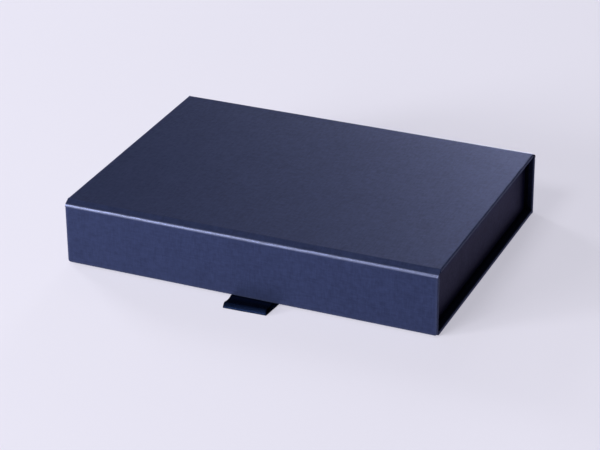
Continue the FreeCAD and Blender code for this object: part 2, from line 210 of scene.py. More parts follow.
def pearlPaper():
    finish = Finish("navyPearlPaper")
    place = finish.attribute("restPlace", "Vector")
    weft = finish.grain(finish.stretched(place, (0.10, 1, 1)), pearl["thread"])
    warp = finish.grain(finish.stretched(place, (1, 0.10, 0.10)), pearl["thread"])
    fibre = finish.grain(place, pearl["fibre"], 3.0, 0.6)
    linen = weft * 0.28 + warp * 0.40 + fibre * 0.32
    slubs = (
        finish.grain(finish.stretched(place, (0.16, 1, 1)), pearl["slub"]) * 0.5
        + finish.grain(finish.stretched(place, (1, 0.16, 0.16)), pearl["slub"]) * 0.5
    )
    mottle = finish.grain(place, pearl["mottle"], 3.0, 0.6)
    cloud = finish.grain(place, pearl["cloud"], 3.0)
    wear = finish.attribute("wear")
    scuffed = (wear * (finish.grain(place, pearl["scuff"], 4.0, 0.7) * 2.4 - 0.70)).clamped()
    pattern = (linen - 0.5) * 1.5 + (slubs - 0.5) * 2.4 + (mottle - 0.5) * 1.4 + (cloud - 0.5) * 0.6
    tone = (pattern + 0.5).clamped()
    worn = wear * 0.15 + scuffed * 0.35
    paint = finish.mixed(worn, finish.mixed(tone, pearl["navy"], pearl["light"]), pearl["worn"])
    burnish = finish.attribute("burnish")  # the hinge creases are rubbed smooth
    return finish.surface({
        "Base Color": paint,
        "Metallic": pearl["metallic"],
        "Roughness": pearl["roughness"] - pattern * 0.10 - burnish * 0.06,
        "Coat Weight": (burnish * (pearl["rubbed"] - scuffed * 0.4)).clamped(),
        "Coat Roughness": pearl["rubbedRoughness"],
        "Specular IOR Level": 0.22,
        "Specular Tint": pearl["sheen"],
        "Normal": finish.bump(linen * 0.6 + slubs * 0.4, pearl["relief"]),
    })


matt = {
    "lining": (colour(0.0050, 0.0052, 0.0110), colour(0.0095, 0.0100, 0.0200)),
    "tray": (colour(0.0105, 0.0104, 0.0218), colour(0.0165, 0.0163, 0.0330)),
    "sheen": colour(0.72, 0.68, 1.0),  # tint of its gloss
    "glaze": colour(0.87, 0.86, 1.0),  # a thin violet coat over the fibres
    "fibre": 0.30 * mm,
    "mottle": 1.8 * mm,
    "cloud": 9 * mm,
    "relief": 0.025 * mm,
    "roughness": 0.52,
}


def mattPaper(name, shades):
    finish = Finish(name)
    place = finish.attribute("restPlace", "Vector")
    fibre = finish.grain(finish.stretched(place, (1, 0.45, 1)), matt["fibre"], 4.0, 0.65)
    mottle = finish.grain(place, matt["mottle"], 3.0, 0.6)
    cloud = finish.grain(place, matt["cloud"], 3.0)
    wear = finish.attribute("wear")
    pattern = (fibre - 0.5) * 1.5 + (mottle - 0.5) * 1.6 + (cloud - 0.5) * 0.7
    tone = (pattern + 0.45 + wear * 0.4).clamped()
    return finish.surface({
        "Base Color": finish.mixed(tone, *shades),
        "Roughness": matt["roughness"] - pattern * 0.10,
        "Specular IOR Level": 0.12,
        "Specular Tint": matt["sheen"],
        "Coat Weight": 1.0,
        "Coat IOR": 1.02,
        "Coat Tint": matt["glaze"],
        "Coat Roughness": 0.5,
        "Normal": finish.bump(fibre * 0.7 + mottle * 0.3, matt["relief"]),
    })


board = {
    "dark": colour(0.19, 0.18, 0.16),
    "light": colour(0.36, 0.345, 0.31),
    "fleck": colour(0.10, 0.09, 0.08),
    "pulpSize": 0.9 * mm,
    "fleckSize": 0.35 * mm,
    "relief": 0.05 * mm,
    "roughness": 0.82,
}


def greyBoard():
    finish = Finish("greyBoard")
    place = finish.objectPlace()
    pulp = finish.grain(place, board["pulpSize"], 4.0, 0.65)
    fleck = (finish.grain(place, board["fleckSize"], 2.0) * 6.0 - 3.9).clamped()
    base = finish.mixed(pulp, board["dark"], board["light"])
    return finish.surface({
        "Base Color": finish.mixed(fleck * 0.6, base, board["fleck"]),
        "Roughness": board["roughness"] + (pulp - 0.5) * 0.15,
        "Specular IOR Level": 0.25,
        "Normal": finish.bump(pulp, board["relief"]),
    })


tape = {
    "dark": colour(0.28, 0.165, 0.075),
    "light": colour(0.50, 0.33, 0.17),
    "fibre": 0.5 * mm,
    "relief": 0.03 * mm,
    "roughness": 0.55,
}


def kraftTape():
    finish = Finish("kraftTape")
    fibre = finish.grain(finish.stretched(finish.objectPlace(), (1, 1, 0.15)), tape["fibre"], 3.0, 0.6)
    return finish.surface({
        "Base Color": finish.mixed(fibre, tape["dark"], tape["light"]),
        "Roughness": tape["roughness"] + (fibre - 0.5) * 0.25,
        "Normal": finish.bump(fibre, tape["relief"]),
    })


plating = {
    "nickel": (colour(0.50, 0.50, 0.51), colour(0.62, 0.61, 0.60)),  # dull and bright
    "nickelRoughness": 0.24,
    "zinc": (colour(0.38, 0.39, 0.41), colour(0.52, 0.53, 0.55)),
    "zincRoughness": 0.36,
    "scratch": 0.25 * mm,
    "stain": 3 * mm,
    "relief": 0.006 * mm,
}


def platedMetal(name, shades, roughness):
    finish = Finish(name)
    place = finish.objectPlace()
    scratch = finish.grain(finish.stretched(place, (1, 1, 0.08)), plating["scratch"], 3.0, 0.7)
    stain = finish.grain(place, plating["stain"], 3.0)
    return finish.surface({
        "Base Color": finish.mixed(stain, *shades),
        "Metallic": 1.0,
        "Roughness": roughness + (scratch - 0.5) * 0.25,
        "Normal": finish.bump(scratch, plating["relief"]),
    })


weave = {
    "dark": colour(0.0010, 0.0016, 0.0070),
    "light": colour(0.0100, 0.0200, 0.0580),
    "rib": 0.50 * mm,  # pitch of the ribs, along the ribbon
    "warp": 0.26 * mm,  # pitch of the threads, across the ribbon
    "selvedge": 0.8 * mm,
    "selvedgeEdge": 0.3 * mm,  # over this width the selvedge thickens
    "wobble": 1.2 * mm,  # size of the unevenness in the ribs
    "relief": 0.03 * mm,
    "metallic": 0.78,
    "roughness": 0.34,
    "sheen": colour(0.03, 0.05, 0.12),
}


def wovenRibbon():
    finish = Finish("wovenRibbon")
    along = finish.attribute("along")
    across = finish.attribute("across")
    wobble = finish.grain(finish.attribute("restPlace", "Vector"), weave["wobble"], 3.0)
    rib = (along * (2 * math.pi / weave["rib"]) + wobble * 1.2).sine() * 0.5 + 0.5
    warp = (across * (2 * math.pi / weave["warp"])).sine() * 0.5 + 0.5
    inner = ribbon["width"] / 2 - weave["selvedge"]
    border = ((across.size() - inner) / weave["selvedgeEdge"]).clamped()
    height = rib * (1 - border * 0.6) * 0.7 + warp * 0.3 + border * 0.5
    tone = (rib * 0.55 + warp * 0.20 + (wobble - 0.5) * 0.7 - border * 0.25).clamped()
    return finish.surface({
        "Base Color": finish.mixed(tone, weave["dark"], weave["light"]),
        "Metallic": weave["metallic"],
        "Roughness": weave["roughness"] + (1 - rib) * 0.12 + border * 0.12,
        "Specular IOR Level": 0.02,
        "Specular Tint": weave["sheen"],
        "Normal": finish.bump(height, weave["relief"]),
    })


studio = {
    "pale": colour(0.775, 0.759, 0.871),  # the colour that the camera sees
    "dim": colour(0.12, 0.12, 0.17),  # what the floor throws back on the box
    "glow": 0.60,  # share of the floor's colour that doesn't depend on the lamps
    "glowStrength": 1.0,
    "ambient": 0.04,
    "roughness": 0.9,
    "grain": 30 * mm,  # size of the spots where the floor is a little smoother
    "floorSize": 40.0,  # metres
    "floorDrop": 0.05 * mm,
}

lamps = {  # degrees round from the front, degrees up, metres away, width, height, watts
    "keyLamp": (-45, 9, 2.60, 0.66, 0.60, 97.0),
    "lowLamp": (-15, 9, 2.60, 0.66, 0.60, 9.5),
    "frontLamp": (-28, 17, 2.60, 0.66, 0.60, 28.5),
    "highLamp": (-15, 45, 2.60, 0.66, 0.60, 26.0),
    "topLamp": (0, 85, 2.60, 0.90, 0.90, 7.0),
    "sideLamp": (-120, 20, 2.60, 0.66, 0.60, 33.0),
    "rearLamp": (-160, 12, 2.60, 0.66, 0.60, 3.5),
    "backLamp": (-150, 45, 2.60, 0.66, 0.60, 2.6),
    "sheenLamp": (-172, 7, 2.60, 0.66, 0.46, 37.0),
}


def cameraSees(finish):  # 1 for the rays that should find the pale background
    path = "ShaderNodeLightPath"
    seen = finish.node(path, out="Is Camera Ray") + finish.node(path, out="Is Glossy Ray")
    return (seen + finish.node(path, out="Is Transmission Ray")).clamped()


def makeStudio():
    floorFinish = Finish("paleFloor")
    seen = cameraSees(floorFinish)
    grain = floorFinish.grain(floorFinish.objectPlace(), studio["grain"])
    paint = floorFinish.mixed(seen, studio["dim"], studio["pale"])
    flat = floorFinish.node("ShaderNodeBsdfPrincipled", None, {
        "Base Color": paint,
        "Roughness": studio["roughness"] + (grain - 0.5) * 0.05,
        "Specular IOR Level": 0.0,
    })
    glowing = {"Color": studio["pale"], "Strength": studio["glowStrength"]}
    glow = floorFinish.node("ShaderNodeEmission", None, glowing)
    both = floorFinish.node("ShaderNodeMixShader", None, {0: seen * studio["glow"], 1: flat, 2: glow})
    floorFinish.node("ShaderNodeOutputMaterial", None, {"Surface": both})

    bm = bmesh.new()
    bmesh.ops.create_grid(bm, x_segments=1, y_segments=1, size=studio["floorSize"] / 2)
    bmesh.ops.translate(bm, verts=bm.verts, vec=(0, 0, -studio["floorDrop"]))
    mesh = bpy.data.meshes.new("studioFloor")
    bm.to_mesh(mesh)
    bm.free()
    mesh.materials.append(floorFinish.block)
    floor = bpy.data.objects.new("studioFloor", mesh)
    bpy.context.scene.collection.objects.link(floor)

    sky = Finish("studioWorld", world=True)
    air = sky.mixed(cameraSees(sky), colour(1, 1, 1), studio["pale"])
    seen = sky.node("ShaderNodeLightPath", out="Is Camera Ray")
    strength = seen + (1 - seen) * studio["ambient"]
    light = sky.node("ShaderNodeBackground", None, {"Color": air, "Strength": strength})
    sky.node("ShaderNodeOutputWorld", None, {"Surface": light})
    bpy.context.scene.world = sky.block

    for name, (turn, up, away, width, height, watts) in lamps.items():
        data = bpy.data.lights.new(name, "AREA")
        data.shape = "RECTANGLE"
        data.size = width
        data.size_y = height
        data.energy = watts
        lamp = bpy.data.objects.new(name, data)
        tilt = Matrix.Rotation(math.radians(turn), 4, "Z") @ Matrix.Rotation(math.radians(90 - up), 4, "X")
        lamp.matrix_world = tilt @ Matrix.Translation((0, 0, away))
        lamp.visible_camera = False
        bpy.context.scene.collection.objects.link(lamp)
    bpy.context.scene.view_settings.view_transform = "Standard"


case = {
    "paper": 0.2 * mm,
    "turnIn": 15 * mm,  # paper folded onto a board's inner face
    "edgeRound": 0.5 * mm,
    "patch": 5 * mm,  # a flat face is cut into patches of about this size
    "edgeBand": 0.9 * mm,  # narrow patches along an edge
    "sway": 0.05 * mm,  # how far a glued sheet wanders from true
    "swayLength": 34 * mm,
    "worn": math.radians(20),  # paper that turns this much between two patches is worn
    "square": math.radians(60),  # a fold sharper than this gets rounded
    "sharp": math.radians(38),  # and one sharper than this stays a crisp edge
}


def cut(bm, axis, *places):  # knife cuts straight through the mesh
    normal = Vector((0, 0, 0))
    normal[axis] = 1
    for place in places:
        everything = bm.verts[:] + bm.edges[:] + bm.faces[:]
        bmesh.ops.bisect_plane(bm, geom=everything, dist=same, plane_co=normal * place, plane_no=normal)


def dice(bm, axis, step):
    places = [v.co[axis] for v in bm.verts]
    low, high = min(places), max(places)
    count = max(1, round((high - low) / step))
    cut(bm, axis, *[low + (high - low) * i / count for i in range(1, count)])


def trimBand(bm, axis):  # narrow patches at both ends of the mesh
    places = [v.co[axis] for v in bm.verts]
    cut(bm, axis, min(places) + case["edgeBand"], max(places) - case["edgeBand"])


def boxMesh(low, high):
    bm = bmesh.new()
    bmesh.ops.create_cube(bm, size=1)
    bmesh.ops.scale(bm, verts=bm.verts, vec=Vector(high) - Vector(low))
    bmesh.ops.translate(bm, verts=bm.verts, vec=(Vector(high) + Vector(low)) / 2)
    return bm


def dropFaces(bm, test):
    doomed = [f for f in bm.faces if test(f.calc_center_median())]
    bmesh.ops.delete(bm, geom=doomed, context="FACES")


def bevelEdges(bm, edges, offset, segments):
    bmesh.ops.bevel(
        bm, geom=edges, offset=offset, offset_type="OFFSET",
        segments=segments, profile=0.5, affect="EDGES", material=-1,
    )


def roundCreases(bm, edges, radius):
    for edge in edges:
        bevelEdges(bm, [edge], radius * math.tan(edge.calc_face_angle() / 2), segments=5)


def roundBox(bm, radius, segments=4):  # all the square folds at once
    folds = [e for e in bm.edges if len(e.link_faces) == 2 and e.calc_face_angle() > case["square"]]
    bevelEdges(bm, folds, radius, segments)


def openEdges(bm, *tests):  # edges of a single face, with both ends passing one of the tests
    return [
        e for e in bm.edges
        if len(e.link_faces) == 1 and any(all(test(v.co) for v in e.verts) for test in tests)
    ]


def foldedSheet(corners, radii, sweep):  # a sheet with straight runs and rounded creases
    bm = bmesh.new()
    points = [bm.verts.new(corner) for corner in corners]
    runs = [bm.edges.new(pair) for pair in zip(points, points[1:])]
    made = bmesh.ops.extrude_edge_only(bm, edges=runs)["geom"]
    bmesh.ops.translate(bm, verts=[v for v in made if isinstance(v, bmesh.types.BMVert)], vec=sweep)
    for corner, radius in zip(corners[1:-1], radii):
        middle = Vector(corner) + Vector(sweep) / 2
        creases = [
            e for e in bm.edges
            if len(e.link_faces) == 2 and ((e.verts[0].co + e.verts[1].co) / 2 - middle).length < flush
        ]
        roundCreases(bm, creases, radius)
    return bm


def markWear(bm):  # 1 on tight folds, 0 on flat paper
    layer = bm.verts.layers.float.new("wear")
    for v in bm.verts:
        turns = [e.calc_face_angle(0.0) for e in v.link_edges if len(e.link_faces) == 2]
        v[layer] = min(1.0, max(turns, default=0.0) / case["worn"])


def thicken(bm, thickness=None):  # the sheet's thickness goes inwards
    bmesh.ops.solidify(bm, geom=bm.faces[:], thickness=thickness or case["paper"])


def sway(bm):  # glued sheets are never quite flat
    for v in bm.verts:
        v.co += noise.noise_vector(v.co / case["swayLength"]) * case["sway"]


def makePiece(name, bm, finish, nodes, body=None):
    mesh = bpy.data.meshes.new(name)
    bm.to_mesh(mesh)
    bm.free()
    mesh.materials.append(finish)
    mesh.shade_smooth()
    mesh.set_sharp_from_angle(angle=case["sharp"])
    rest = mesh.attributes.new("restPlace", "FLOAT_VECTOR", "POINT")
    for v in mesh.vertices:
        rest.data[v.index].vector = v.co
    piece = bpy.data.objects.new(name, mesh)
    bpy.context.scene.collection.objects.link(piece)
    if body:
        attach(piece, body)
    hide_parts(*nodes)
    print("made", name, len(mesh.polygons), "faces")
    return piece


def faceOutwards(bm, inside):  # an open sheet's faces should look away from this point
    bm.normal_update()
    looks = sum(f.normal.dot(f.calc_center_median() - inside) * f.calc_area() for f in bm.faces)
    if looks < 0:
        bmesh.ops.reverse_faces(bm, faces=bm.faces)
    bm.normal_update()


hinge = {
    "drop": 2.5 * mm,  # from the lid's face down to the crease at the flap or the spine
    "shoulder": 1.5 * mm,  # outside radius at the lid
    "corner": 2.2 * mm,  # outside radius at the flap or the spine
    "columns": 3 * mm,  # patches along the strip
    "rows": 0.4 * mm,  # and across it
    "ripple": 0.24 * mm,  # how far the crease wanders in short waves
    "rippleLength": 7 * mm,
    "drift": 0.30 * mm,  # and in long ones
    "driftLength": 32 * mm,
    "lift": 0.17 * mm,  # it wanders about a line this far up, so that it stays clear of the lining
    "reach": 1.3 * mm,  # how far from the crease the strip follows it
    "burnish": 1.3 * mm,  # how far from the crease the paper is rubbed
    "burnishEdge": 0.4 * mm,
    "held": 0.3 * mm,  # a stretch of the strip this long, at the lid's side
    "depth": 10 * mm,  # a point this far under the lid's face is inside the case
}


def lidEdge(side):  # side is -1 in front and 1 at the back
    return lidLow.y if side < 0 else lidHigh.y


def hingeLine(side):  # the two corners, (y, z), of the strip's outer face
    wall = flapLow.y if side < 0 else spineHigh.y
    slant = math.atan2(hinge["drop"], abs(wall - lidEdge(side)))
    shoulderRun = hinge["shoulder"] * math.tan(slant / 2)
    return (lidEdge(side) + side * shoulderRun, lidHigh.z), (wall, lidHigh.z - hinge["drop"])


def cornerFoot(side):  # where the rounded crease ends, on the flap's or the spine's face
    top, corner = hingeLine(side)
    turn = math.pi / 2 - math.atan2(top[1] - corner[1], abs(corner[0] - top[0]))
    return corner[1] - hinge["corner"] * math.tan(turn / 2)


def makeHinge(side, node, cover, lining):
    top, corner = hingeLine(side)
    foot = cornerFoot(side)
    edge = lidEdge(side)
    inside = Vector((0, 0, lidHigh.z - hinge["depth"]))
    path = [(lidLow.x, y, z) for y, z in ((edge, lidHigh.z), top, corner, (corner[0], foot))]
    bm = foldedSheet(path, [hinge["shoulder"], hinge["corner"]], (lidHigh.x - lidLow.x, 0, 0))
    dice(bm, axisX, hinge["columns"])
    trimBand(bm, axisX)
    cut(bm, axisX, -liningHigh.x, liningHigh.x)
    dice(bm, axisY, hinge["rows"])
    markWear(bm)
    faceOutwards(bm, inside)
    burnish = bm.verts.layers.float.new("burnish")
    for v in bm.verts:  # a hand-creased fold wanders a little, in two slices of the noise
        away = (Vector((corner[0], corner[1])) - v.co.yz).length
        v[burnish] = min(1.0, max(0.0, (hinge["burnish"] - away) / hinge["burnishEdge"]))
        reach = max(0.0, 1 - abs(v.co.z - corner[1]) / hinge["reach"])
        ripple = noise.noise(Vector((v.co.x / hinge["rippleLength"], side, 0))) * hinge["ripple"]
        drift = noise.noise(Vector((v.co.x / hinge["driftLength"], side, 9))) * hinge["drift"]
        v.co.z += (hinge["lift"] + ripple + drift) * reach
    thicken(bm)
    sway(bm)
    outer = makePiece(node.replace("paper", "cover"), bm, cover, [node])
    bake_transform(outer)

    slope = Vector((0, corner[0] - top[0], corner[1] - top[1])).normalized()
    inward = Vector((0, -side * abs(slope.z), -abs(slope.y)))

    def innerPoint(y, depth):  # a point of the strip, under its outer face
        along = (y - top[0] - inward.y * depth) / slope.y
        return Vector((-liningHigh.x, *top)) + slope * along + inward * depth

    paper = case["paper"]
    lipY = liningLow.y if side < 0 else liningHigh.y
    crownY = corner[0] - side * 2 * paper
    path = [innerPoint(lipY, paper), innerPoint(crownY, paper)]
    bm = foldedSheet(path, [], (2 * liningHigh.x, 0, 0))
    dice(bm, axisX, hinge["columns"])
    dice(bm, axisY, hinge["rows"])
    markWear(bm)
    faceOutwards(bm, inside)
    thicken(bm)
    sway(bm)
    inner = makePiece(node.replace("paper", "lining"), bm, lining, [node])
    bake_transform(inner)


def absorb(bm, other):  # joins a second mesh into the first
    mesh = bpy.data.meshes.new("spare")
    other.to_mesh(mesh)
    other.free()
    bm.from_mesh(mesh)
    bpy.data.meshes.remove(mesh)


turnedTab = {
    "overlap": 0.05 * mm,  # how far it goes under the end of the lining
    "below": 0.3 * mm,  # and under the end of the cover paper
    "round": 0.07 * mm,
    "crown": 0.75 * mm,  # radius over the board's top edge
    "step": 0.7 * mm,
}
tabStart = liningHigh.x - turnedTab["overlap"]


def closeLidEdges(bm):  # the turned-in paper runs over the board's edge beside the hinge
    for side in (-1, 1):
        for end in (-1, 1):
            near, far = sorted((side * lidHigh.y, side * (lidHigh.y + case["paper"])))
            left, right = sorted((end * tabStart, end * lidHigh.x))
            tab = boxMesh((left, near, lidLow.z), (right, far, lidHigh.z - case["paper"]))
            roundBox(tab, turnedTab["round"], segments=2)
            dice(tab, axisX, turnedTab["step"])
            dice(tab, axisZ, turnedTab["step"])
            absorb(bm, tab)


def closeTopEdge(bm, side, innerY, foot):  # the same, over the top of the flap or the spine
    wall = (flapLow.y if side < 0 else spineHigh.y) - side * case["paper"]
    near, far = sorted((wall, innerY))
    start = foot - turnedTab["below"]
    for end in (-1, 1):
        left, right = sorted((end * tabStart, end * lidHigh.x))
        tab = boxMesh((left, near, start), (right, far, crownZ))
        dropFaces(tab, lambda at: at.z < start + flush or abs(at.x) < tabStart + flush)
        crown = [
            e for e in tab.edges
            if all(abs(v.co.z - crownZ) < same and abs(v.co.y - wall) < same for v in e.verts)
        ]
        bevelEdges(tab, crown, turnedTab["crown"], segments=4)
        dice(tab, axisX, turnedTab["step"])
        faceOutwards(tab, Vector((end * tabStart, (near + far) / 2, foot)))
        thicken(tab)
        absorb(bm, tab)


def makeLidCover(finish):
    low, high = lidLow, lidHigh
    inner = high.x - case["turnIn"]
    path = [
        (-inner, low.y, low.z), (low.x, low.y, low.z), (low.x, low.y, high.z),
        (high.x, low.y, high.z), (high.x, low.y, low.z), (inner, low.y, low.z),
    ]
    bm = foldedSheet(path, [case["edgeRound"]] * 4, (0, high.y - low.y, 0))
    cut(bm, axisX, low.x + 2 * case["edgeBand"], high.x - 2 * case["edgeBand"])
    cut(bm, axisZ, (low.z + high.z) / 2)
    dice(bm, axisX, case["patch"])
    dice(bm, axisY, case["patch"])
    markWear(bm)
    faceOutwards(bm, (low + high) / 2)
    thicken(bm)
    closeLidEdges(bm)
    sway(bm)
    makePiece("lid_cover", bm, finish, ["lid_cover_paper"], "lid")


def wrapUpright(low, high, innerY, foldZ):
    # paper round an upright board: open above, and bare in the middle of its inner face
    bm = boxMesh(low, high)
    bare = high.x - case["turnIn"]
    dropFaces(bm, lambda at: at.z > high.z - flush)
    cut(bm, axisX, -bare, bare)
    cut(bm, axisZ, foldZ)
    dropFaces(bm, lambda at: abs(at.y - innerY) < flush and abs(at.x) < bare and at.z > foldZ)
    return bm


def dicePanel(bm, low, high):
    cut(bm, axisX, low.x + 2 * case["edgeBand"], high.x - 2 * case["edgeBand"])
    cut(bm, axisY, (low.y + high.y) / 2)
    cut(bm, axisZ, low.z + 2 * case["edgeBand"])
    dice(bm, axisX, case["patch"])
    dice(bm, axisZ, case["patch"])


wornEdge = {  # radii, where a board or its paper has taken knocks
    "paper": 1.5 * mm,  # the flap's lower corners
    "board": 1.22 * mm,  # the board inside them
    "topEdge": 0.7 * mm,  # both upright boards, under the hinge paper
    "steps": 5,
    "sliver": 0.005 * mm,  # shorter edges are dissolved
}


def softenCorners(bm, low, radius):  # the two lower corners of a box mesh, which take the knocks
    corners = [
        e for e in bm.edges
        if all(abs(v.co.z - low.z) < same and abs(abs(v.co.x) + low.x) < same for v in e.verts)
    ]
    bevelEdges(bm, corners, radius, wornEdge["steps"])


def wearEdge(bm, axes, centre, radius, outward):  # takes one square edge of a board down to an arc
    steps = [radius * math.sin(math.pi / 2 * i / wornEdge["steps"]) for i in range(wornEdge["steps"])]
    for axis, place, way in zip(axes, centre, outward):
        cut(bm, axis, *[place + way * step for step in steps])
    for v in bm.verts:
        away = Vector([(v.co[axis] - place) * way for axis, place, way in zip(axes, centre, outward)])
        if min(away) > 0 and away.length > radius:
            away *= radius / away.length
            for axis, place, way, reach in zip(axes, centre, outward, away):
                v.co[axis] = place + way * reach
    bmesh.ops.dissolve_degenerate(bm, dist=wornEdge["sliver"], edges=bm.edges)


def makeShapedBoard(node, side, finish, body):  # a packed board, worn round under the hinge paper
    low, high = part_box(node)
    bm = bmesh.new()
    bm.from_mesh(frame["nodes"][node].data)
    bmesh.ops.remove_doubles(bm, verts=bm.verts, dist=same)
    radius = wornEdge["topEdge"]
    wall = low.y if side < 0 else high.y
    wearEdge(bm, (axisY, axisZ), (wall - side * radius, high.z - radius), radius, (side, 1))
    if side < 0:  # the flap's lower corners take the knocks
        for end in (-1, 1):
            centre = (end * (flapHigh.x - wornEdge["paper"]), flapLow.z + wornEdge["paper"])
            wearEdge(bm, (axisX, axisZ), centre, wornEdge["board"], (end, -1))
    makePiece(node + "_shaped", bm, finish, [node], body)


def makeFlapCover(finish):
    low = flapLow
    high = Vector((flapHigh.x, flapHigh.y, cornerFoot(-1)))
    bm = wrapUpright(low, high, high.y, low.z + case["turnIn"])
    softenCorners(bm, low, wornEdge["paper"])
    roundBox(bm, case["edgeRound"])
    dicePanel(bm, low, high)
    left, right, top = ribbonSeat["left"], ribbonSeat["right"], ribbonSeat["top"]
    lip = ribbonSeat["lip"]
    cut(bm, axisX, left - lip, left, right, right + lip)
    cut(bm, axisZ, top, top + lip)
    markWear(bm)
    faceOutwards(bm, (low + high) / 2)
    for v in bm.verts:  # the paper is pressed in behind the ribbon
        onSeat = left - same < v.co.x < right + same and v.co.z < top + same
        if onSeat and v.co.y > high.y - case["edgeRound"] - same:
            v.co.y -= ribbonSeat["depth"]
    thicken(bm)
    closeTopEdge(bm, -1, high.y, high.z)
    sway(bm)
    makePiece("flap_cover", bm, finish, ["flap_cover_paper"], "front_flap")


spineFold = {
    "radius": 1.0 * mm,  # the cover runs round this into the base
    "steps": 6,
    "skin": 0.03 * mm,  # the closed ends lie this far under the paper
}


def closeFootEnds(bm):  # the turned-in paper also covers the ends of the fold at the base
    radius, skin = spineFold["radius"], spineFold["skin"]
    near, far = spineLow.y, spineHigh.y
    for end in (-1, 1):
        outer = end * (spineHigh.x - skin)
        inner = end * (spineHigh.x - case["edgeRound"])
        left, right = sorted((outer, inner))
        tab = boxMesh((left, near, skin), (right, far - skin, radius + skin))
        wearEdge(tab, (axisY, axisZ), (far - radius, radius), radius - skin, (1, -1))
        absorb(bm, tab)
        left, right = sorted((inner, inner - end * case["paper"]))
        top = baseHigh.z - skin
        absorb(bm, boxMesh((left, near, radius / 2), (right, near + 2 * case["paper"], top)))


def makeSpineCover(finish):
    radius = spineFold["radius"]
    low = Vector((spineLow.x, spineLow.y, radius))
    high = Vector((spineHigh.x, spineHigh.y, cornerFoot(1)))
    bm = wrapUpright(low, high, low.y, low.z)
    dropFaces(bm, lambda at: at.z < low.z + flush and abs(at.y - (low.y + high.y) / 2) < flush)
    roundBox(bm, case["edgeRound"])
    foot = openEdges(bm, lambda at: abs(at.z - low.z) < same and at.y > high.y - same)
    bmesh.ops.spin(
        bm, geom=foot, cent=(0, high.y - radius, radius), axis=(1, 0, 0),
        angle=-math.pi / 2, steps=spineFold["steps"], use_merge=False,
    )
    dicePanel(bm, low, high)
    markWear(bm)
    faceOutwards(bm, (low + high) / 2)
    thicken(bm)
    closeTopEdge(bm, 1, low.y, high.z)
    closeFootEnds(bm)
    sway(bm)
    makePiece("spine_cover", bm, finish, ["spine_cover_paper"], "root")


def makeBaseCover(finish):
    low, high = baseLow, baseHigh
    boardEnd = spineLow.y  # the wrapped board stops here, and the paper runs on to the spine
    bare = high.x - case["turnIn"]
    bareFrom = low.y + case["turnIn"]
    bm = boxMesh(low, high)
    cut(bm, axisX, -bare, bare)
    cut(bm, axisY, bareFrom, boardEnd)
    dropFaces(bm, lambda at: at.y > high.y - flush or (at.y > boardEnd and at.z > low.z + flush))
    dropFaces(bm, lambda at: at.z > high.z - flush and abs(at.x) < bare and at.y > bareFrom)
    roundBox(bm, case["edgeRound"])
    cut(bm, axisZ, (low.z + high.z) / 2)
    dice(bm, axisX, case["patch"])
    dice(bm, axisY, case["patch"])
    markWear(bm)
    faceOutwards(bm, (low + high) / 2)
    thicken(bm)
    makePiece("base_cover", bm, finish, ["base_cover_paper"], "root")


impression = {
    "width": magnetHigh.x - magnetLow.x,
    "depth": 0.07 * mm,
    "spread": 1.6 * mm,  # how far the dip reaches past the disc
    "step": 1.2 * mm,
}


def sinkDiscs(bm, face, inward):  # the paper dips a little over each magnet or steel disc
    centreX = (magnetLow.x + magnetHigh.x) / 2
    centreZ = (magnetLow.z + magnetHigh.z) / 2
    reach = impression["width"] / 2 + impression["spread"]
    count = int(reach / impression["step"])
    spots = [i * impression["step"] for i in range(-count, count + 1)]
    for side in (-1, 1):
        cut(bm, axisX, *[side * centreX + spot for spot in spots])
    cut(bm, axisZ, *[centreZ + spot for spot in spots])
    for v in bm.verts:
        if abs(v.co.y - face) < same:
            away = Vector((abs(v.co.x) - centreX, v.co.z - centreZ)).length
            share = min(1.0, max(0.0, (reach - away) / (2 * impression["spread"])))
            v.co.y += inward * impression["depth"] * share * share * (3 - 2 * share)


liningSheet = {
    "crease": 0.25 * mm,
    "lip": 0.1 * mm,  # the lid's lining stops this far below its own top
}


def makeLining(node, body, path, behind, finish, discs=None):  # path is (y, z), behind is a point
    corners = [Vector((liningLow.x, y, z)) for y, z in path]
    radii = [liningSheet["crease"]] * (len(path) - 2)
    bm = foldedSheet(corners, radii, (liningHigh.x - liningLow.x, 0, 0))
    dice(bm, axisX, case["patch"])
    dice(bm, axisY, case["patch"])
    dice(bm, axisZ, case["patch"])
    trimBand(bm, axisX)
    if discs:
        sinkDiscs(bm, *discs)
    markWear(bm)
    faceOutwards(bm, Vector(behind))
    thicken(bm)
    sway(bm)
    makePiece(node + "_sheet", bm, finish, [node], body)


def makeLinings(finish):
    low, high = liningLow, liningHigh
    lipZ = high.z - liningSheet["lip"]
    path = [(low.y, lipZ), (low.y, low.z), (high.y, low.z), (high.y, lipZ)]
    makeLining("lid_lining", "lid", path, (0, 0, high.z), finish)

    low, high = flapLiningLow, flapLiningHigh
    path = [(high.y, low.z), (high.y, crownZ), (flapLow.y + 2 * case["paper"], crownZ)]
    makeLining("flap_lining", "front_flap", path, (0, flapLow.y, 0), finish, (high.y, -1))

    low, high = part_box("spine_lining")
    path = [(low.y, low.z), (low.y, crownZ), (spineHigh.y - 2 * case["paper"], crownZ)]
    makeLining("spine_lining", "root", path, (0, spineHigh.y, 0), finish)


tray = {"edgeRound": 0.45 * mm, "patch": 6 * mm}


def onRectangle(verts, low, high):  # moves the corners of a rim onto a smaller rectangle
    for v in verts:
        v.co.x = low.x if v.co.x < 0 else high.x
        v.co.y = low.y if v.co.y < (low.y + high.y) / 2 else high.y


def addRim(bm, edges):
    made = bmesh.ops.extrude_edge_only(bm, edges=edges)["geom"]
    return [v for v in made if isinstance(v, bmesh.types.BMVert)]


